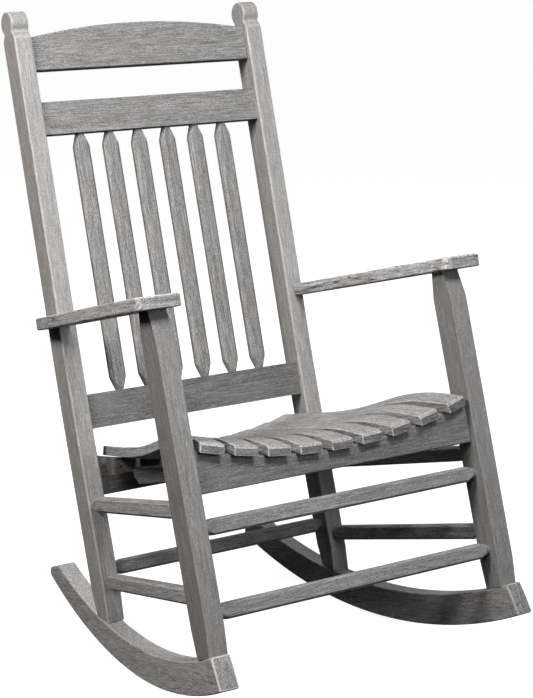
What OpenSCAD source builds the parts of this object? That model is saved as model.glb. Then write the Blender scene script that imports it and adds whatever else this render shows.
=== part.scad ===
// Porch rocking chair: slatted back, dished slat seat, flat arms, turned-end rungs.
// The frame is drawn upright on its legs (X across, Y to the rear, Z along the legs)
// and then leans back as a whole, so that it rests on its two curved rockers.

/* [Frame] */
// Lean of the whole frame when the chair is at rest, degrees
rest_lean = 19.4; // [15:0.1:22]
// Distance between the front leg centres
leg_spread = 612; // [560:1:660]
// Distance between the back post centres
post_spread = 511; // [470:1:550]
// Front face of the legs to front face of the posts
post_setback = 466; // [430:1:500]
// Width of the leg and post timber
timber_w = 36; // [32:0.5:42]
// Depth of the leg and post timber
timber_d = 52; // [46:0.5:58]

/* [Back posts] */
// Height of the post tops above the leg feet
post_h = 1210; // [1150:1:1260]
// Forward bend of the posts above the seat, degrees
post_bend = 1.9; // [0:0.1:4]
// Height at which the bend begins
bend_start = 380; // [340:5:420]
// Height at which the bend ends
bend_end = 560; // [520:5:600]
// Diameter of the round post top
finial_d = 48; // [40:1:52]

/* [Front legs] */
// Height of the leg tops at their front face
leg_h = 578; // [550:1:600]
// How far the leg tops narrow at the front
leg_top_taper = 11; // [4:1:15]
// How far the feet of legs and posts narrow, front and rear
foot_taper = 5; // [2:1:8]

/* [Rockers] */
// Radius of the curved underside
rocker_r = 1010; // [900:5:1150]
// Height of the rocker board, measured along the legs
rocker_h = 59.5; // [50:0.5:70]
// Distance of the curve's lowest point behind the leg fronts, in the rocker's own plane
rocker_low = 146; // [120:1:160]
// Length of the rocker behind the leg fronts
rocker_rear = 757; // [720:1:790]

/* [Back rest] */
// Thickness of the three back rails
rail_t = 25; // [20:1:30]
// Set-back of the rails behind the front of the posts
rail_inset = 10; // [6:1:14]
// Width of a back slat
back_slat_w = 33; // [26:1:40]
// Thickness of a back slat
back_slat_t = 19; // [14:1:22]
// Distance between back slat centres
back_slat_pitch = 63; // [56:1:68]

/* [Seat] */
// Width of a seat slat
seat_slat_w = 44; // [38:1:46]
// Thickness of a seat slat
seat_slat_t = 18; // [16:1:22]
// Distance between slat centres at the front
slat_pitch_front = 63.5; // [58:0.5:66]
// Distance between slat centres at the rear
slat_pitch_rear = 46; // [46:0.5:50]
// Position of the rear ends of the slats behind the leg fronts
slat_rear = 500; // [490:1:505]

/* [Arms] */
// Thickness of the arm boards
arm_t = 23; // [20:0.5:28]
// Slope of the arms and the side rungs, down to the front, degrees
side_slope = 3.1; // [1:0.1:5]

/* [Rungs] */
// Height of the rung section
rung_h = 28; // [24:0.5:32]
// Thickness of the rung section
rung_t = 22; // [18:0.5:26]
// Length of the turned taper at each rung end
rung_taper = 30; // [20:1:38]

/* [Hidden] */
$fn = 48;

// Colours of the weathered grey boards
grey_light = [0.66, 0.65, 0.63];
grey_mid = [0.58, 0.575, 0.565];
grey_dark = [0.46, 0.455, 0.45];

// Leg and post positions
leg_x = leg_spread / 2;
post_x = post_spread / 2;
leg_mid = timber_d / 2;
post_mid = post_setback + timber_d / 2;
leg_inner = leg_x - timber_w / 2;
post_inner = post_x - timber_w / 2;
splay = atan((leg_x - post_x) / (post_mid - leg_mid));

// Rocker curve, in the rocker's own plane
curve_top = rocker_r - 70;
toe_t = -24;
toe_z = curve_top - sqrt(rocker_r * rocker_r - pow(rocker_low - toe_t, 2));
front_toe = [[-7, -1], [-12, -14], [-16.5, -28], [-20.5, -43], [toe_t, toe_z]];
heel_round = 14;

// Resting height of the curve's centre, and how far the leaned frame reaches front and rear
curve_y = rocker_low * cos(splay);
curve_fall = sqrt(pow(cos(splay) * sin(rest_lean), 2) + pow(cos(rest_lean), 2));
floor_drop = rocker_r * curve_fall + timber_w / 2 * sin(splay) * sin(rest_lean);
toe_y = toe_t * cos(splay) - timber_w / 2 * sin(splay);
front_reach = leaned_y(toe_y, toe_z);
finial_r = finial_d / 2;
rear_reach = leaned_y(post_mid - bend(post_h - finial_r), post_h - finial_r) + finial_r;

// Back slats: how many, their worked edges and turned ends, and their depth in the rails
back_slats = 6;
back_slat_edge = 6;
back_slat_taper = 34;
back_slat_tenon = 14;
back_slat_depth = rail_t - back_slat_t / 2;

// Seat slats: how many, and the chamfer on their front top edges
seat_slats = 9;
seat_slat_nose = 3;

// Heights of the back rails; the crest rail's top is an arc from its ends to its peak
crest_low = 1092;
crest_end = 1156;
crest_peak = 1177;
upper_rail_low = 969;
upper_rail_h = 62;
lower_rail_low = 408;
lower_rail_h = 65;

// Seat dish: slat tops at the front and rear ends, and how much the sides rise
slat_front = -6;
front_top = 313.5;
front_dish = 0.000494;
rear_top = 349;
rear_dish = 0.000560;
slat_roll = 3.5;
wave_steps = 28;
slat_gap = 1.2;
tilt_allowance = 1.035;

// Seat rails
apron_low = 264.5;
apron_t = 24;
apron_inset = 13;
rear_rail_low = 282;
rear_rail_front = 474;
rear_rail_t = 19;

cleat_front = 430;
cleat_t = 24;
cleat_half = 228;
cleat_low = 316;
side_rail_x = 178;
side_rail_t = 22;
side_rail_low = 290;

// Arm underside at the front of the post
arm_under = 605;

// Rung heights at their centre
front_rung_z = [67.5, 208.5];
rear_rung_z = 143;
side_rung_rear_z = [121.5, 267];
rung_edge = 4;
rung_tip_r = 8.5;
tenon_r = 7;
tenon_l = 16;
fit_gap = 0.1;

// How far the posts lean forward of a straight line at height z
function bend(z) =
  z < bend_start ? 0 :
  z < bend_end ? tan(post_bend) * pow(z - bend_start, 2) / (2 * (bend_end - bend_start)) :
  tan(post_bend) * (z - (bend_start + bend_end) / 2);

// Points of an arc, centre c, radius r, from angle a0 to a1
function arc(c, r, a0, a1, n = 30) =
  [for (i = [0:n]) c + r * [cos(a0 + (a1 - a0) * i / n), sin(a0 + (a1 - a0) * i / n)]];

// Height of the slat wave above its chord, u from 0 at the front to 1 at the rear
function wave(u) = 3.7 * sin(180 * u) + 9.7 * sin(360 * u) + 3.2 * sin(540 * u);

// Slat tops at the front and rear ends, at distance x from the centre line
function top_front(x) = front_top + front_dish * x * x;
function top_rear(x) = rear_top + rear_dish * x * x;

// Height of the slatted surface at distance x from the centre line and depth y
function seat_top(x, y) =
  let (u = (y - slat_front) / (slat_rear - slat_front),
       n = x / ((1 - u) * slat_pitch_front + u * slat_pitch_rear))
  (1 - u) * top_front(n * slat_pitch_front) + u * top_rear(n * slat_pitch_rear) + wave(u);

// Height of a side rung's or an arm's line at depth y, from its height at the post
function sloped(z_post, y) = z_post - (post_setback - y) * tan(side_slope);

// World depth of a frame point before centring, given its depth and height in the frame
function leaned_y(y, z) = (y - curve_y) * cos(rest_lean) + (z - curve_top) * sin(rest_lean);

// Leans the frame back so that the rockers touch the floor, with the origin under its middle
module at_rest() {
  translate([0, -(front_reach + rear_reach) / 2, floor_drop]) rotate([-rest_lean, 0, 0])
    translate([0, -curve_y, -curve_top]) children();
}

module left() { mirror([1, 0, 0]) children(); }

// Places a side profile (depth, height) upright in the right rocker's plane
module rocker_plane(thick) {
  translate([leg_x + leg_mid * tan(splay), 0, 0])
    rotate([0, 0, splay]) rotate([90, 0, 90])
      translate([0, 0, -thick / 2]) linear_extrude(thick) children();
}

// Extrudes a side profile (depth, height) across X, centred on x
module side_profile(x, thick) {
  translate([x - thick / 2, 0, 0]) rotate([90, 0, 90]) linear_extrude(thick) children();
}

// Extrudes a front profile (across, height) towards the rear from depth y
module front_profile(y, thick) {
  translate([0, y + thick, 0]) rotate([90, 0, 0]) linear_extrude(thick) children();
}

// Space above the rocker's top curve, which trims the feet
module above_rocker() {
  rocker_plane(4 * timber_w) translate([rocker_low, curve_top + rocker_h]) circle(rocker_r, $fn = 360);
}

module rocker() {
  heel = [rocker_rear, 136];
  rocker_plane(timber_w) intersection() {
    difference() {
      translate([rocker_low, curve_top]) circle(rocker_r, $fn = 360);
      translate([rocker_low, curve_top + rocker_h]) circle(rocker_r, $fn = 360);
    }
    polygon(concat(
      [[-7, 60]], front_toe, [[toe_t, -120], [rocker_rear, -120]],
      arc([rocker_rear - heel_round, heel[1] + 4], heel_round, -60, 70),
      arc([rocker_rear - 52, heel[1] + 6], heel_round, 75, 130),
      [[rocker_rear - 80, 300]]));
  }
}

// Cross-section of a rung or slat with worked edges
module worked_section(w, h, edge) {
  polygon([
    [w / 2 - edge, -h / 2], [w / 2, -h / 2 + edge], [w / 2, h / 2 - edge], [w / 2 - edge, h / 2],
    [edge - w / 2, h / 2], [-w / 2, h / 2 - edge], [-w / 2, edge - h / 2], [edge - w / 2, -h / 2]]);
}

// A bar along Z between z = 0 and len, turned to a taper at both ends, with round tenons
module turned_bar(len, w, h, taper, tip_r, edge, tenon = tenon_l) {
  full_r = norm([w, h]) / 2 + 0.5;
  intersection() {
    linear_extrude(len) worked_section(w, h, edge);
    union() {
      cylinder(h = taper, r1 = tip_r, r2 = full_r);
      translate([0, 0, taper]) cylinder(h = len - 2 * taper, r = full_r);
      translate([0, 0, len - taper]) cylinder(h = taper, r1 = full_r, r2 = tip_r);
    }
  }
  translate([0, 0, -tenon]) cylinder(h = len + 2 * tenon, r = tenon_r);
}

// Places children so that their Z runs from point a to point b
module between(a, b) {
  d = b - a;
  turn = atan2(d[1], d[0]);
  fall = atan2(d[2], norm([d[0], d[1]]));
  translate(a) rotate([0, 0, turn]) rotate([0, 90 - fall, 0]) children();
}

module cross_rung(y, z, half) {
  between([-half, y, z], [half, y, z])
    turned_bar(2 * half, rung_h, rung_t, rung_taper, rung_tip_r, rung_edge);
}

module front_rung(k) { cross_rung(leg_mid, front_rung_z[k], leg_inner); }

module rear_rung() { cross_rung(post_mid, rear_rung_z, post_inner); }

function rung_front(k) = [leg_x, timber_d, sloped(side_rung_rear_z[k], timber_d)];
function rung_rear(k) = [post_x, post_setback, side_rung_rear_z[k]];

module side_rung(k) {
  a = rung_front(k);
  b = rung_rear(k);
  intersection() {
    between(a, b) translate([0, 0, -2])
      turned_bar(norm(b - a) + 4, rung_h, rung_t, rung_taper + 2, rung_tip_r, rung_edge, 0);
    translate([0, timber_d, 0]) cube([leg_x + timber_w, post_setback - timber_d, leg_h]);
  }
  between(a, b) translate([0, 0, -tenon_l]) cylinder(h = norm(b - a) + 2 * tenon_l, r = tenon_r);
}

// Sockets for the side rung tenons, in a leg or a post
module side_sockets() {
  for (k = [0, 1]) {
    a = rung_front(k);
    b = rung_rear(k);
    between(a, b) translate([0, 0, -tenon_l - fit_gap])
      cylinder(h = norm(b - a) + 2 * tenon_l + 2 * fit_gap, r = tenon_r + fit_gap);
  }
}

// Sockets for cross rungs at depth y, reaching past both inner faces
module cross_sockets(y, heights, half) {
  for (z = heights)
    translate([-half - tenon_l - fit_gap, y, z]) rotate([0, 90, 0])
      cylinder(h = 2 * (half + tenon_l + fit_gap), r = tenon_r + fit_gap);
}

module front_leg() {
  rear_top_taper = leg_top_taper - 2;
  difference() {
    intersection() {
      side_profile(leg_x, timber_w) polygon([
        [foot_taper, -20], [foot_taper, -2], [0, 47], [0, leg_h - 48],
        [leg_top_taper, leg_h - 2], [leg_top_taper, sloped(arm_under, leg_top_taper)],
        [timber_d - rear_top_taper, sloped(arm_under, timber_d - rear_top_taper)],
        [timber_d, leg_h - 45], [timber_d, 47], [timber_d - foot_taper, -6], [timber_d - foot_taper, -20]]);
      above_rocker();
    }
    side_sockets();
    cross_sockets(leg_mid, front_rung_z, leg_inner);
  }
}

// Post outline: front face up, round top, rear face down
module post_outline() {
  steps = 12;
  neck_z = post_h - finial_d + 6;
  shoulder_z = neck_z - 12;
  centre = [post_mid - bend(post_h - finial_r), post_h - finial_r];
  neck = finial_r - 6;
  neck_turn = acos(neck / finial_r);
  bend_z = [for (i = [0:steps]) bend_start + (bend_end - bend_start) * i / steps];
  polygon(concat(
    [[post_setback + foot_taper, 30], [post_setback + foot_taper, 44], [post_setback, 92]],
    [for (z = bend_z) [post_setback - bend(z), z]],
    [[post_setback - bend(shoulder_z), shoulder_z], [centre[0] - neck, neck_z]],
    arc(centre, finial_r, 180 + neck_turn, -neck_turn, 60),
    [[centre[0] + neck, neck_z], [post_setback + timber_d - bend(shoulder_z), shoulder_z]],
    [for (i = [0:steps]) [post_setback + timber_d - bend(bend_z[steps - i]), bend_z[steps - i]]],
    [[post_setback + timber_d, 100], [post_setback + timber_d - foot_taper - 2, 58],
     [post_setback + timber_d - foot_taper - 2, 30]]));
}

module back_post() {
  difference() {
    intersection() {
      side_profile(post_x, timber_w) post_outline();
      above_rocker();
    }
    side_sockets();
    cross_sockets(post_mid, [rear_rung_z], post_inner);
  }
}

// A back rail follows the lean of the posts
module lean_with_posts(z) {
  translate([0, post_setback + rail_inset - bend(z), z]) rotate([post_bend, 0, 0]) children();
}

module rail_board(h) {
  translate([-post_inner, 0, 0]) cube([2 * post_inner, rail_t, h]);
}

module crest_rail() {
  half = post_inner;
  rise = crest_peak - crest_end;
  crown_r = (half * half + rise * rise) / (2 * rise);
  lean_with_posts(crest_low) front_profile(0, rail_t) intersection() {
    translate([-half, 0]) square([2 * half, crest_peak - crest_low]);
    translate([0, crest_peak - crest_low - crown_r]) circle(crown_r, $fn = 360);
  }
}

module upper_back_rail() {
  difference() {
    lean_with_posts(upper_rail_low) rail_board(upper_rail_h);
    for (n = [1:back_slats]) slat_tenons(n);
  }
}

module lower_back_rail() {
  difference() {
    lean_with_posts(lower_rail_low) rail_board(lower_rail_h);
    for (n = [1:back_slats]) slat_tenons(n);
  }
}

// Ends of a back slat, on the edges of the two rails that hold it
function rail_edge(z, up) =
  [post_setback + rail_inset - bend(z) - up * sin(post_bend) + back_slat_depth * cos(post_bend),
   z + up * cos(post_bend) + back_slat_depth * sin(post_bend)];
slat_foot = rail_edge(lower_rail_low, lower_rail_h + fit_gap);
slat_head = rail_edge(upper_rail_low, -fit_gap);
function back_slat_x(n) = (n - (back_slats + 1) / 2) * back_slat_pitch;

module back_slat(n) {
  a = [back_slat_x(n), slat_foot[0], slat_foot[1]];
  b = [back_slat_x(n), slat_head[0], slat_head[1]];
  rotate_to_slat(a, b)
    turned_bar(norm(b - a), back_slat_w, back_slat_t, back_slat_taper, tenon_r + 1,
               back_slat_edge, back_slat_tenon);
}

// Stands a bar's Z on the line from a to b, keeping its width along X
module rotate_to_slat(a, b) {
  lean = atan2(b[1] - a[1], b[2] - a[2]);
  translate(a) rotate([-lean, 0, 0]) children();
}

module slat_tenons(n) {
  a = [back_slat_x(n), slat_foot[0], slat_foot[1]];
  b = [back_slat_x(n), slat_head[0], slat_head[1]];
  reach = back_slat_tenon + fit_gap;
  rotate_to_slat(a, b) translate([0, 0, -reach])
    cylinder(h = norm(b - a) + 2 * reach, r = tenon_r + fit_gap);
}

// Arm outline in plan, right side, notched around the front outer corner of the post
module arm_plan() {
  outer_rear = post_x + timber_w / 2 + 34;
  outer_front = leg_x + timber_w / 2 + 33;
  inner_rear = post_x - 4;
  inner_front = leg_inner - 16;
  front = -26;
  notch = post_setback - bend(arm_under) - 0.1;
  rear = post_setback + 32;
  bow = 7;
  steps = 10;
  polygon(concat(
    [[inner_rear, notch], [post_x + timber_w / 2, notch], [post_x + timber_w / 2, rear]],
    arc([outer_rear - 14, rear - 14], 14, 90, 10),
    [for (i = [1:steps - 1]) let (u = i / steps)
      [outer_rear + (outer_front - outer_rear) * u + bow * sin(180 * u),
       (rear - 14) + (front + 22 - rear + 14) * u]],
    arc([outer_front - 20, front + 20], 20, 0, -90),
    arc([inner_front + 16, front + 16], 16, 270, 185),
    [[inner_front - 1, front + 60]]));
}

// Lies a flat plan at the arm's height and slope, its underside at z = 0
module arm_plane() {
  translate([0, post_setback, arm_under]) rotate([side_slope, 0, 0])
    translate([0, -post_setback, 0]) children();
}

module arm() {
  arm_plane() linear_extrude(arm_t) arm_plan();
}

// Slat placement: pitch from its front top edge to its rear top edge
function slat_n(n) = n - (seat_slats + 1) / 2;
function slat_a(n) = let (x = slat_n(n) * slat_pitch_front) [x, slat_front, top_front(x)];
function slat_b(n) = let (x = slat_n(n) * slat_pitch_rear) [x, slat_rear, top_rear(x)];

module seat_slat(n) {
  a = slat_a(n);
  b = slat_b(n);
  d = b - a;
  run = norm([d[0], d[1]]);
  len = norm(d);
  translate(a) rotate([0, 0, -atan2(d[0], d[1])]) rotate([atan2(d[2], run), 0, 0])
    rotate([0, -slat_n(n) * slat_roll, 0])
      side_profile(0, seat_slat_w) polygon(concat(
        [[0, -seat_slat_nose], [seat_slat_nose, wave(seat_slat_nose / len)]],
        [for (i = [1:wave_steps]) let (u = i / wave_steps) [len * u, wave(u)]],
        [for (i = [0:wave_steps]) let (u = 1 - i / wave_steps) [len * u, wave(u) - seat_slat_t]]));
}

// Underside of the slats above depth y, less a small clearance; the slats stand slightly tilted
function rail_top(x, y) = seat_top(x, y) - seat_slat_t * tilt_allowance - slat_gap;

// A cross rail whose top edge is dished, and slopes up to the rear, to carry the slats
module dished_rail(y, thick, half, low) {
  steps = 24;
  pivot = rail_top(half * 0.7, y);
  rise = atan((rail_top(0, y + thick) - rail_top(0, y)) / thick);
  intersection() {
    translate([-half, y, low]) cube([2 * half, thick, 200]);
    translate([0, y, pivot]) rotate([rise, 0, 0]) front_profile(-40, thick + 80) polygon(concat(
      [[-half, -200], [half, -200]],
      [for (i = [0:steps]) let (x = half - 2 * half * i / steps)
        [x, (rail_top(x, y) - pivot) * cos(rise)]]));
  }
}

module front_apron() {
  dished_rail(apron_inset, apron_t, leg_inner, apron_low);
}

module rear_seat_rail() {
  dished_rail(rear_rail_front, rear_rail_t, post_inner, rear_rail_low);
}

// Board across the slats, ahead of the rear rail, with a screw hole near each end
module seat_cleat() {
  difference() {
    dished_rail(cleat_front, cleat_t, cleat_half, cleat_low);
    for (side = [-1, 1])
      translate([side * (cleat_half - 16), cleat_front - 1, cleat_low + 13]) rotate([-90, 0, 0])
        cylinder(h = cleat_t + 2, r = 2.5);
  }
}

// Boards from the apron to the cleat, with a chamfered rear corner
module seat_side_rail() {
  chamfer = 15;
  side_profile(side_rail_x, side_rail_t) polygon([
    [apron_inset + apron_t, side_rail_low - 8], [cleat_front - chamfer, side_rail_low],
    [cleat_front, side_rail_low + chamfer], [cleat_front, side_rail_low + 32],
    [apron_inset + apron_t, side_rail_low + 22]]);
}

color(grey_mid) at_rest() left() rocker();  // rocker_left
color(grey_mid) at_rest() rocker();  // rocker_right
color(grey_mid) at_rest() left() front_leg();  // front_leg_left
color(grey_mid) at_rest() front_leg();  // front_leg_right
color(grey_mid) at_rest() left() back_post();  // back_post_left
color(grey_mid) at_rest() back_post();  // back_post_right
color(grey_light) at_rest() left() arm();  // arm_left
color(grey_light) at_rest() arm();  // arm_right
color(grey_mid) at_rest() crest_rail();
color(grey_mid) at_rest() upper_back_rail();
color(grey_mid) at_rest() lower_back_rail();
for (n = [1:back_slats])
  color(grey_mid) at_rest() back_slat(n);
color(grey_mid) at_rest() front_apron();
color(grey_dark) at_rest() rear_seat_rail();
color(grey_dark) at_rest() seat_cleat();
color(grey_dark) at_rest() left() seat_side_rail();  // seat_side_rail_left
color(grey_dark) at_rest() seat_side_rail();  // seat_side_rail_right
for (n = [1:seat_slats])
  color(grey_light) at_rest() seat_slat(n);
color(grey_mid) at_rest() front_rung(1);  // front_rung_upper
color(grey_mid) at_rest() front_rung(0);  // front_rung_lower
color(grey_mid) at_rest() rear_rung();
color(grey_mid) at_rest() left() side_rung(1);  // side_rung_upper_left
color(grey_mid) at_rest() side_rung(1);  // side_rung_upper_right
color(grey_mid) at_rest() left() side_rung(0);  // side_rung_lower_left
color(grey_mid) at_rest() side_rung(0);  // side_rung_lower_right
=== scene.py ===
import math
import random

import bpy
from mathutils import Matrix, Vector

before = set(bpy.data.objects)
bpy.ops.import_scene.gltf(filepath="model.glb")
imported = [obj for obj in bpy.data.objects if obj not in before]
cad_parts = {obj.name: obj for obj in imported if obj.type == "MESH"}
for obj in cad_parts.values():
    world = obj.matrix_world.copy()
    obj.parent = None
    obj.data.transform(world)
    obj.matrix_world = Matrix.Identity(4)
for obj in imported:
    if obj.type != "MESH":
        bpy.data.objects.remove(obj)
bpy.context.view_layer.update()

# ---------------------------------------------------------------- how the boards lie
# angles other than LEAN are in the chair's own frame, before it leans back
LEAN = math.radians(19.4)            # how far the frame leans back at rest
SIDE_SLOPE = math.radians(3.1)       # arms and side rungs slope down to the front
ROCKER_SLOPE = math.radians(2)       # mean slope of the rockers' grain
SPLAY = math.radians(6.2)            # rockers and sides close in towards the rear
ARM_SPLAY = SPLAY * 0.8
POST_BEND = math.radians(1.9)        # the back rest is this much more upright
SLAT_FAN = -2.0                      # degrees that each seat slat turns from the one before
MIDDLE_SLAT = 5                      # number of the middle one of the nine seat slats

# ---------------------------------------------------------------- camera
CAMERA_PLACE = (-1.802, -2.890, 1.441)
CAMERA_ROTATION = (75.52, -0.37, -32.43)    # degrees
CAMERA_LENS = 98.0                   # millimetres on the sensor below
CAMERA_SENSOR = 36.0
CAMERA_FAR = 200.0

# ---------------------------------------------------------------- edges
EDGE_ROUND = 0.0032                  # rounding of the boards' worked edges
THIN_EDGE_ROUND = 0.0018             # the same on the rungs and slats
EDGE_SEGMENTS = 3
THIN_PIECES = ("back_slat", "seat_slat", "side_rung", "front_rung", "rear_rung")
FINE_CURVES = ("arm", "rocker", "back_post")    # rounded in full in spite of short segments
EDGE_ANGLE = math.radians(24)        # bends sharper than this are rounded
CREASE_ANGLE = math.radians(4.5)     # bends shallower than this are shaded smooth
FLAT_ANGLE = math.radians(0.05)      # faces that differ by less than this are joined
JOIN_DISTANCE = 0.00002              # corners closer than this are one corner
END_FACING = 0.80                    # faces turned this far to the grain are sawn ends

# ---------------------------------------------------------------- colours
BOARD_MID = (0.230, 0.227, 0.224)    # weathered grey of the boards, linear
BOARD_PALE = (0.232, 0.232, 0.234)   # the cooler grey of the palest streaks
STREAK_DARK = 0.36                   # darkest streaks, times BOARD_MID
STREAK_LIGHT = 1.95                  # palest streaks, times BOARD_PALE
DARK_AT, MID_AT, PALE_AT = 0.20, 0.50, 0.85     # shades that get these three greys
TONE_SPREAD = 0.03                   # how far one board's tone may be from its kind's
EDGE_WEAR_AND_HIGHLIGHT = 1.22                     # how much paler the rounded edges are, but for the arms': partly wear, partly a painted highlight
KINDS = ("board", "edge", "end")     # the three materials of a board, in slot order

# how light each kind of board is, times the greys, as painted light and shade: pieces in the
# light paler, pieces under the seat and at the rear darker; the first start of a name that fits
# counts
LIGHT_AND_SHADE_TONES = (
    ("back_post", 1.22), ("crest", 0.82), ("upper_back", 0.80), ("lower_back", 0.52),
    ("front_apron", 0.54), ("front_leg_left", 0.80), ("front_leg_right", 0.76),
    ("front_rung", 0.80), ("rear_rung", 0.70), ("rear", 0.42), ("rocker_left", 1.32),
    ("rocker_right", 0.85), ("seat_slat", 1.06), ("seat", 0.40), ("arm", 1.60),
    ("back_slat", 0.84), ("side_rung", 1.25))
# how light the sawn ends are instead: painted shade, darker than the faces of their boards
END_SHADE_TONES = (("rocker", 0.72), ("seat_slat", 0.50), ("arm", 0.98))

# ---------------------------------------------------------------- grain
# each layer: (scale along the grain, scale across it, detail, roughness), scales per metre
FINE_GRAIN = (22, 560, 3.0, 0.70)
STREAKS = (5, 170, 3.0, 0.62)
LONG_STREAKS = (3, 170, 3.0, 0.62)
BANDS = (2, 45, 2.0, 0.55)
FLECKS = (330, 800, 1.0, 0.70)
SLITS = (8, 260, 2.0, 0.50)
FIGURE = (5, 85, 1.0, 0.55)
ARM_FIGURE = (4, 55, 1.0, 0.55)
SCRATCHES = (40, 800, 1.0, 0.55)

# how strongly each layer changes the shade, which runs from dark at 0 to pale at 1
FINE_WEIGHT = 1.05
STREAK_WEIGHT = 0.20
LONG_STREAK_WEIGHT = 0.60
BAND_WEIGHT = 0.15
FLECK_WEIGHT = 0.95
SCRATCH_WEIGHT = 0.42
SCRATCH_FROM, SCRATCH_FULL = 0.64, 0.74         # noise above this is a pale scratch
CONTRAST = 1.12
CALM_CONTRAST = 0.62                 # the same on the posts and legs
CALM_PIECES = ("back_post", "front_leg")

SLIT_FULL, SLIT_FROM = 0.25, 0.31    # noise below this is a dark slit
SLIT_DARK = 0.45                     # brightness left in a slit
VEIN_FULL, VEIN_FROM = 0.004, 0.016  # noise this close to 0.5 is a dark vein
ARM_VEIN, FIGURED_VEIN, PLAIN_VEIN = 0.36, 0.62, 0.88    # brightness left in a vein

WAVE = 0.004                         # metres that the grain wanders from straight
FIGURED_WAVE = 0.010                 # the same on the arms and seat slats
END_WAVE = 2                         # times as much on the sawn ends
WAVE_SCALE = (5, 14, 14)             # per metre, along the grain and across it
GRAIN_OFFSET = 3                     # metres by which boards differ in their place in the noise

ROUGHNESS = (0.60, 0.42)             # of the dark streaks and of the pale ones
WORN_ROUGHNESS = (0.50, 0.36)        # the same on the rounded edges
ROUGH_FROM, ROUGH_TO = 0.3, 0.7      # shades between which the roughness changes
BUMP, WORN_BUMP = 0.45, 0.25
BUMP_DEPTH = 0.0006
STREAK_RELIEF, CRACK_RELIEF = 0.8, 0.6          # relief, as a part of the fine grain's
SPECULAR = 0.5

# ---------------------------------------------------------------- stage and light
FLOOR_HALF = 30.0
FLOOR_GLOW = 0.93                    # how much of the floor's white is its own
FLOOR_SHADED = (0.30, 0.30, 0.30, 1)            # the rest, which shows the shadows
SKY_STRENGTH = 0.20                  # of the soft sky that lights the chair
SKY_LOW = 0.02                       # how bright that sky is below, as a part of above
SKY_FROM, SKY_TO = -0.1, 0.9         # Z of a direction where it starts and stops brightening
WARM = (1.0, 0.955, 0.915)
WHITE = (1.0, 1.0, 1.0)

# name, place, what it is turned to, side in metres, watts, colour
LIGHTS = (
    ("overhead", (-0.2, -1.5, 2.4), (0, 0, 0.8), 0.7, 48, WHITE),
    ("left", (-2.3, -0.4, 2.5), (-0.1, 0, 0.8), 0.8, 90, WARM),
    ("front", (0.4, -3.4, 1.8), (0, 0, 0.9), 1.0, 28, WHITE),
    ("rear", (0.6, 3.2, 2.2), (0, 0, 0.7), 1.4, 40, WHITE),
    ("right", (3.2, 0.9, 1.8), (0, 0, 0.7), 1.4, 45, WHITE))

random.seed(743)

# ---------------------------------------------------------------- board directions
ACROSS = Vector((1, 0, 0))
UP_LEG = Vector((0, math.sin(LEAN), math.cos(LEAN)))
TO_REAR = Vector((0, math.cos(LEAN), -math.sin(LEAN)))
UP_BACK = Vector((0, math.sin(LEAN - POST_BEND), math.cos(LEAN - POST_BEND)))


def along_side(node, slope, splay):
    """Direction to the rear in the plane of the side that a node belongs to."""
    side = -1 if node.endswith("_left") else 1
    level = TO_REAR * math.cos(splay) + ACROSS * (-side * math.sin(splay))
    return (level * math.cos(slope) + UP_LEG * math.sin(slope)).normalized()


def along_slat(node):
    """Direction to the rear of a seat slat, which fans out from the middle one."""
    place = int(node.rsplit("_", 1)[1]) - MIDDLE_SLAT
    fan = math.radians(SLAT_FAN * place)
    return TO_REAR * math.cos(fan) + ACROSS * math.sin(fan)


def grain_axes(node):
    """Grain direction of a node, and the direction across its widest face."""
    if node.startswith("rocker"):
        return along_side(node, ROCKER_SLOPE, SPLAY), UP_LEG
    if node.startswith("side_rung"):
        return along_side(node, SIDE_SLOPE, SPLAY), UP_LEG
    if node.startswith("arm"):
        return along_side(node, SIDE_SLOPE, ARM_SPLAY), ACROSS
    if node.startswith("seat_side_rail"):
        return TO_REAR, UP_LEG
    if node.startswith("seat_slat"):
        return along_slat(node), ACROSS
    if node.startswith("back_slat"):
        return UP_BACK, ACROSS
    if node.startswith("back_post"):
        return ((UP_LEG + UP_BACK) / 2).normalized(), ACROSS
    if node.startswith("front_leg"):
        return UP_LEG, ACROSS
    return ACROSS, UP_LEG


def end_axes(node):
    """The same for the sawn ends of a board, where the streaks run across it."""
    if node.startswith("rocker"):
        return UP_LEG, ACROSS
    grain, face = grain_axes(node)
    return face, grain


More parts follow.
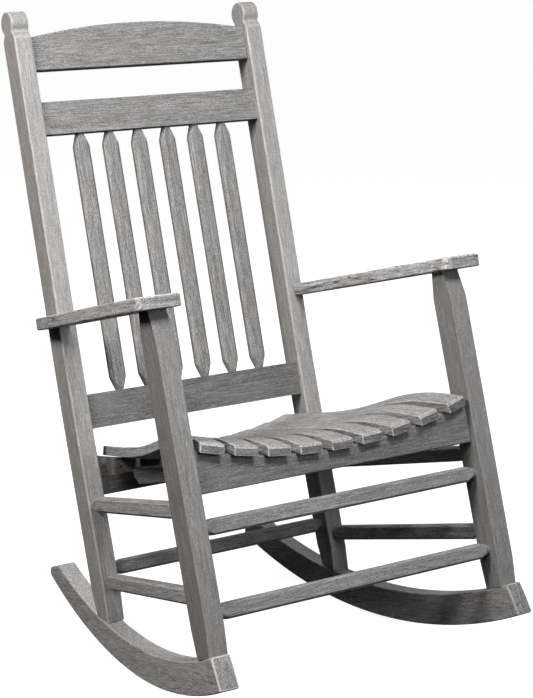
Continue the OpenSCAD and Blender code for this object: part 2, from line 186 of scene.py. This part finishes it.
# ---------------------------------------------------------------- nodes
class Nodes:
    """A short way to add nodes to an empty node tree and link them."""

    def __init__(self, tree):
        self.tree = tree
        self.tree.nodes.clear()

    def feed(self, socket, value):
        """Links an output to an input, or gives the input a plain value."""
        if isinstance(value, bpy.types.NodeSocket):
            self.tree.links.new(value, socket)
        else:
            socket.default_value = value

    def add(self, kind, settings=None, **inputs):
        node = self.tree.nodes.new(kind)
        for name, value in (settings or {}).items():
            setattr(node, name, value)
        for name, value in inputs.items():
            self.feed(node.inputs[name.replace("_", " ")], value)
        return node

    def compute(self, kind, operation, *values):
        """Output of a plain or vector math node with these inputs."""
        node = self.add(kind, {"operation": operation})
        for index, value in enumerate(values):
            self.feed(node.inputs[index], value)
        return node.outputs[0]

    def math(self, operation, *values):
        return self.compute("ShaderNodeMath", operation, *values)

    def vector_math(self, operation, *values):
        return self.compute("ShaderNodeVectorMath", operation, *values)

    def mapping(self, vector, **inputs):
        return self.add("ShaderNodeMapping", Vector=vector, **inputs).outputs[0]

    def noise(self, vector, layer):
        """Noise of one layer of the grain, along a vector from board_vector."""
        along, across, detail, roughness = layer
        stretched = self.mapping(vector, Scale=(along, across, across))
        node = self.add(
            "ShaderNodeTexNoise",
            Vector=stretched, Scale=1.0, Detail=detail, Roughness=roughness)
        return node.outputs[0]

    def swing(self, value, weight, middle):
        """middle, plus weight times how far a value is from 0.5."""
        return self.math("MULTIPLY_ADD", self.math("SUBTRACT", value, 0.5), weight, middle)

    def remap(self, value, low, high, to_low, to_high):
        node = self.add(
            "ShaderNodeMapRange",
            Value=value, From_Min=low, From_Max=high, To_Min=to_low, To_Max=to_high)
        return node.outputs[0]

    def output(self, last, kind="ShaderNodeOutputMaterial"):
        """Ends the tree with an output node that the last node feeds."""
        self.feed(self.add(kind).inputs[0], last.outputs[0])


# ---------------------------------------------------------------- board material
def board_vector(nodes, axes, wave):
    """Coordinates in metres with X along the grain, bent slightly by a slow wave."""
    grain, face = axes
    third = grain.cross(face).normalized()
    face = third.cross(grain).normalized()
    turn = Matrix((grain, face, third)).to_euler("XYZ")
    place = Vector([random.uniform(-GRAIN_OFFSET, GRAIN_OFFSET) for _ in range(3)])
    coords = nodes.add("ShaderNodeTexCoord").outputs["Object"]
    turned = nodes.mapping(coords, Rotation=turn, Location=place)
    slow = nodes.add(
        "ShaderNodeTexNoise",
        Vector=nodes.mapping(turned, Scale=WAVE_SCALE), Scale=1.0, Detail=1.0)
    centred = nodes.vector_math("SUBTRACT", slow.outputs["Color"], (0.5, 0.5, 0.5))
    bend = nodes.vector_math("MULTIPLY", centred, (0, wave, wave))
    return nodes.vector_math("ADD", turned, bend)


def painted_light_tone(node, kind):
    """How light the boards, edges or sawn ends of a node are, as a part of the greys: painted
    light and shade, and on the edges partly wear.
    """
    for start, tone_and_painted_light in (END_SHADE_TONES if kind == "end" else ()) + LIGHT_AND_SHADE_TONES:
        if node.startswith(start):
            lifted = kind == "edge" and not node.startswith("arm")
            return tone_and_painted_light * (EDGE_WEAR_AND_HIGHLIGHT if lifted else 1.0)
    return 1.0


def board_greys(nodes, shade, tone_and_painted_light):
    """Colour ramp from the dark streaks to the pale ones, made lighter by tone, which holds
    painted light and shade.
    """
    ramp = nodes.add("ShaderNodeValToRGB", Fac=shade)
    stops = ramp.color_ramp.elements
    stops[0].position = DARK_AT
    stops[0].color = [c * tone_and_painted_light * STREAK_DARK for c in BOARD_MID] + [1]
    stops[1].position = PALE_AT
    stops[1].color = [c * tone_and_painted_light * STREAK_LIGHT for c in BOARD_PALE] + [1]
    middle = stops.new(MID_AT)
    middle.color = [c * tone_and_painted_light for c in BOARD_MID] + [1]
    return ramp.outputs[0]


def board_material(node, kind, wave):
    """Weathered grey board: fine straight streaks, light scratches, specks and slits.

    kind is board, edge for the smoother rounded edges, paler by wear and a painted highlight,
    or end for the sawn ends, darker by painted shade.
    """
    worn = kind == "edge"
    arm = node.startswith("arm")
    figured = arm or node.startswith("seat_slat") or kind == "end"
    material = bpy.data.materials.new(node + "_" + kind)
    material.use_nodes = True
    nodes = Nodes(material.node_tree)
    vector = board_vector(nodes, end_axes(node) if kind == "end" else grain_axes(node), wave)
    fine = nodes.noise(vector, FINE_GRAIN)
    streak = nodes.noise(vector, LONG_STREAKS if figured else STREAKS)
    band = nodes.noise(vector, BANDS)
    fleck = nodes.noise(vector, FLECKS)
    slit = nodes.noise(vector, SLITS)
    figure = nodes.noise(vector, ARM_FIGURE if arm else FIGURE)
    scratch = nodes.noise(vector, SCRATCHES)

    shade = nodes.swing(fine, FINE_WEIGHT, 0.5)
    shade = nodes.swing(streak, LONG_STREAK_WEIGHT if figured else STREAK_WEIGHT, shade)
    shade = nodes.swing(band, BAND_WEIGHT, shade)
    shade = nodes.swing(fleck, FLECK_WEIGHT, shade)
    scratched = nodes.remap(scratch, SCRATCH_FROM, SCRATCH_FULL, 0.0, SCRATCH_WEIGHT)
    shade = nodes.math("ADD", scratched, shade)
    shade = nodes.swing(shade, CALM_CONTRAST if node.startswith(CALM_PIECES) else CONTRAST, 0.5)
    # a small random tone for each board, times the painted light and shade of its kind
    tone_and_painted_light = random.uniform(1 - TONE_SPREAD, 1 + TONE_SPREAD) * painted_light_tone(node, kind)
    greys = board_greys(nodes, shade, tone_and_painted_light)

    vein = ARM_VEIN if arm else FIGURED_VEIN if figured else PLAIN_VEIN
    contour = nodes.math("ABSOLUTE", nodes.math("SUBTRACT", figure, 0.5))
    crack = nodes.math(
        "MULTIPLY",
        nodes.remap(slit, SLIT_FULL, SLIT_FROM, SLIT_DARK, 1.0),
        nodes.remap(contour, VEIN_FULL, VEIN_FROM, vein, 1.0))
    colour = nodes.add("ShaderNodeMix", {"data_type": "RGBA", "blend_type": "MULTIPLY"})
    colour.inputs[0].default_value = 1.0
    nodes.feed(colour.inputs["A"], greys)
    nodes.feed(colour.inputs["B"], crack)

    rough_dark, rough_pale = WORN_ROUGHNESS if worn else ROUGHNESS
    rough = nodes.remap(shade, ROUGH_FROM, ROUGH_TO, rough_dark, rough_pale)
    height = nodes.math("MULTIPLY_ADD", streak, STREAK_RELIEF, fine)
    height = nodes.math("MULTIPLY_ADD", crack, CRACK_RELIEF, height)
    bump = nodes.add(
        "ShaderNodeBump",
        Height=height, Strength=WORN_BUMP if worn else BUMP, Distance=BUMP_DEPTH)
    nodes.output(nodes.add(
        "ShaderNodeBsdfPrincipled",
        Base_Color=colour.outputs["Result"], Roughness=rough, Normal=bump.outputs[0],
        Specular_IOR_Level=SPECULAR))
    return material


# ---------------------------------------------------------------- edges and pieces
def crease_group():
    """Geometry nodes that join the CAD faces and shade them smooth.

    Bends between CREASE_ANGLE and EDGE_ANGLE, too sharp to smooth and too shallow to round,
    stay crisp.
    """
    group = bpy.data.node_groups.new("crease", "GeometryNodeTree")
    for way in ("INPUT", "OUTPUT"):
        group.interface.new_socket("Geometry", in_out=way, socket_type="NodeSocketGeometry")
    nodes = Nodes(group)
    start = nodes.add("NodeGroupInput")
    merge = nodes.add(
        "GeometryNodeMergeByDistance", Geometry=start.outputs[0], Distance=JOIN_DISTANCE)
    smooth = nodes.add("GeometryNodeSetShadeSmooth", Geometry=merge.outputs[0])
    angle = nodes.add("GeometryNodeInputMeshEdgeAngle").outputs["Unsigned Angle"]
    between = nodes.math(
        "MULTIPLY",
        nodes.math("GREATER_THAN", angle, CREASE_ANGLE),
        nodes.math("LESS_THAN", angle, EDGE_ANGLE))
    crisp = nodes.add(
        "GeometryNodeSetShadeSmooth", {"domain": "EDGE"},
        Geometry=smooth.outputs[0], Selection=between, Shade_Smooth=False)
    nodes.output(crisp, "NodeGroupOutput")
    return group


def round_edges(piece, crease, width):
    """Joins the flat faces, rounds the worked edges and smooths the shading."""
    joined = piece.modifiers.new("crease", "NODES")
    joined.node_group = crease
    flat = piece.modifiers.new("flat", "DECIMATE")
    flat.decimate_type = "DISSOLVE"
    flat.angle_limit = FLAT_ANGLE
    bevel = piece.modifiers.new("bevel", "BEVEL")
    bevel.limit_method = "ANGLE"
    bevel.angle_limit = EDGE_ANGLE
    bevel.width = width
    bevel.segments = EDGE_SEGMENTS
    bevel.material = KINDS.index("edge")
    bevel.use_clamp_overlap = not piece.name.startswith(FINE_CURVES)
    normals = piece.modifiers.new("normals", "WEIGHTED_NORMAL")
    normals.keep_sharp = True


def mark_ends(piece, grain):
    """Gives the faces across the grain the material of the sawn ends."""
    for polygon in piece.data.polygons:
        if abs(polygon.normal.dot(grain)) > END_FACING:
            polygon.material_index = KINDS.index("end")


def dress(name, piece, crease):
    """Gives a CAD board its materials and rounded edges."""
    wave = FIGURED_WAVE if name.startswith(("arm", "seat_slat")) else WAVE
    piece.data.materials.clear()
    for kind in KINDS:
        kind_wave = wave * END_WAVE if kind == "end" else wave
        piece.data.materials.append(board_material(name, kind, kind_wave))
    mark_ends(piece, grain_axes(name)[0])
    round_edges(piece, crease, THIN_EDGE_ROUND if name.startswith(THIN_PIECES) else EDGE_ROUND)


# ---------------------------------------------------------------- stage
def floor_material():
    """Plain white floor that still shows soft shadows."""
    material = bpy.data.materials.new("floor_white")
    material.use_nodes = True
    nodes = Nodes(material.node_tree)
    shaded = nodes.add("ShaderNodeBsdfDiffuse", Color=FLOOR_SHADED)
    glow = nodes.add("ShaderNodeEmission", Strength=FLOOR_GLOW)
    both = nodes.add("ShaderNodeAddShader")
    nodes.feed(both.inputs[0], shaded.outputs[0])
    nodes.feed(both.inputs[1], glow.outputs[0])
    nodes.output(both)
    return material


def add_floor():
    """The floor, left out of the light that bounces onto the chair."""
    corners = [(-1, -1), (1, -1), (1, 1), (-1, 1)]
    mesh = bpy.data.meshes.new("floor")
    mesh.from_pydata(
        [(x * FLOOR_HALF, y * FLOOR_HALF, 0) for x, y in corners], [], [(0, 1, 2, 3)])
    floor = bpy.data.objects.new("floor", mesh)
    bpy.context.scene.collection.objects.link(floor)
    mesh.materials.append(floor_material())
    floor.visible_diffuse = False
    floor.visible_glossy = False


def add_world():
    """Plain white to the camera; a soft sky, dark below, to the chair."""
    world = bpy.data.worlds.new("studio")
    world.use_nodes = True
    nodes = Nodes(world.node_tree)
    seen = nodes.add("ShaderNodeBackground", Color=(1, 1, 1, 1))
    coords = nodes.add("ShaderNodeTexCoord").outputs["Generated"]
    height = nodes.add("ShaderNodeSeparateXYZ", Vector=coords).outputs["Z"]
    brightness = nodes.remap(height, SKY_FROM, SKY_TO, SKY_LOW, 1.0)
    soft = nodes.add("ShaderNodeBackground", Color=brightness, Strength=SKY_STRENGTH)
    path = nodes.add("ShaderNodeLightPath")
    mix = nodes.add("ShaderNodeMixShader")
    nodes.feed(mix.inputs[0], path.outputs["Is Camera Ray"])
    nodes.feed(mix.inputs[1], soft.outputs[0])
    nodes.feed(mix.inputs[2], seen.outputs[0])
    nodes.output(mix, "ShaderNodeOutputWorld")
    bpy.context.scene.world = world
    bpy.context.scene.view_settings.view_transform = "Standard"


def add_light(name, place, target, side, power, colour):
    """A square soft box, turned to a point."""
    lamp = bpy.data.lights.new(name, "AREA")
    lamp.shape = "SQUARE"
    lamp.size = side
    lamp.energy = power
    lamp.color = colour
    light = bpy.data.objects.new(name, lamp)
    light.location = place
    towards = Vector(target) - Vector(place)
    light.rotation_euler = towards.to_track_quat("-Z", "Y").to_euler()
    bpy.context.scene.collection.objects.link(light)


def add_camera():
    data = bpy.data.cameras.new("camera")
    data.lens = CAMERA_LENS
    data.sensor_width = CAMERA_SENSOR
    data.clip_end = CAMERA_FAR
    camera = bpy.data.objects.new("camera", data)
    camera.location = CAMERA_PLACE
    camera.rotation_euler = [math.radians(a) for a in CAMERA_ROTATION]
    bpy.context.scene.collection.objects.link(camera)
    bpy.context.scene.camera = camera


add_camera()
add_world()
for light_values in LIGHTS:
    add_light(*light_values)
add_floor()
shared_crease = crease_group()
for node_name in sorted(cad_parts):
    dress(node_name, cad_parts[node_name], shared_crease)

bpy.context.view_layer.update()
